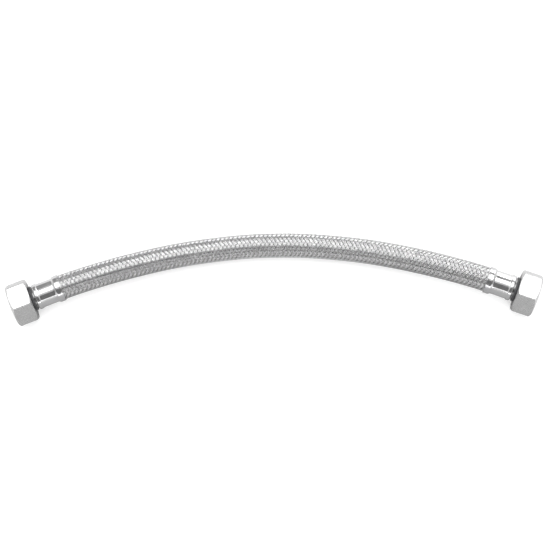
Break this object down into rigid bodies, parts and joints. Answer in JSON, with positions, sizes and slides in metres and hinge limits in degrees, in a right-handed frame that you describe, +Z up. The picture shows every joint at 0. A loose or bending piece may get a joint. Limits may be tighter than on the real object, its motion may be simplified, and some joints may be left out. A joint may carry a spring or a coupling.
{
  "type": "braided supply line",
  "caption": "Flexible braided stainless water connector in a gentle bend, with a crimped ferrule and a swivelling hexagonal union nut on each end.",
  "frame": {"origin": "on the surface the line lies on, under the middle of its box", "axes": "+X along the line from the left nut to the right nut, +Y towards the crown of the bend, +Z up"},
  "size_m": [0.3216, 0.0574, 0.024],
  "materials": {
    "braid": "woven bright stainless wire",
    "union_nut": "nickel plated, satin turned and milled faces",
    "ferrule": "polished stainless, with crimp marks",
    "stem": "nickel plated brass",
    "slip_ring": "black nylon",
    "rubber": "black EPDM rubber"
  },
  "bodies": {
    "left_end": {"left_stem": "stem", "left_ferrule": "ferrule", "left_sealing_washer": "rubber", "inner_tube": "rubber", "wire_braid": "braid"},
    "right_end": {"right_stem": "stem", "right_ferrule": "ferrule", "right_sealing_washer": "rubber"},
    "left_ring": {"left_slip_ring": "slip_ring"},
    "left_nut": {"left_nut": "union_nut"},
    "right_ring": {"right_slip_ring": "slip_ring"},
    "right_nut": {"right_nut": "union_nut"}
  },
  "joints": [
    {"name": "hose_bend", "type": "hinge", "parent": "left_end", "child": "right_end", "pos_m": [0, 0.0212, 0.0076], "axis": [0, 0, 1], "range_deg": [-75, 100], "stiffness_Nm_per_rad": 0.5, "deforming": ["wire_braid", "inner_tube"]},
    {"name": "left_nut_slide", "type": "slide", "parent": "left_end", "child": "left_ring", "axis": [0.9298, 0.3681, 0], "range_m": [0, 0.0006]},
    {"name": "left_nut_spin", "type": "hinge", "parent": "left_ring", "child": "left_nut", "pos_m": [-0.15066, -0.01393, 0.012], "axis": [-0.9298, -0.3681, 0], "continuous": true},
    {"name": "right_nut_slide", "type": "slide", "parent": "right_end", "child": "right_ring", "axis": [-0.9298, 0.3681, 0], "range_m": [0, 0.0006]},
    {"name": "right_nut_spin", "type": "hinge", "parent": "right_ring", "child": "right_nut", "pos_m": [0.15066, -0.01393, 0.012], "axis": [0.9298, -0.3681, 0], "continuous": true}
  ]
}
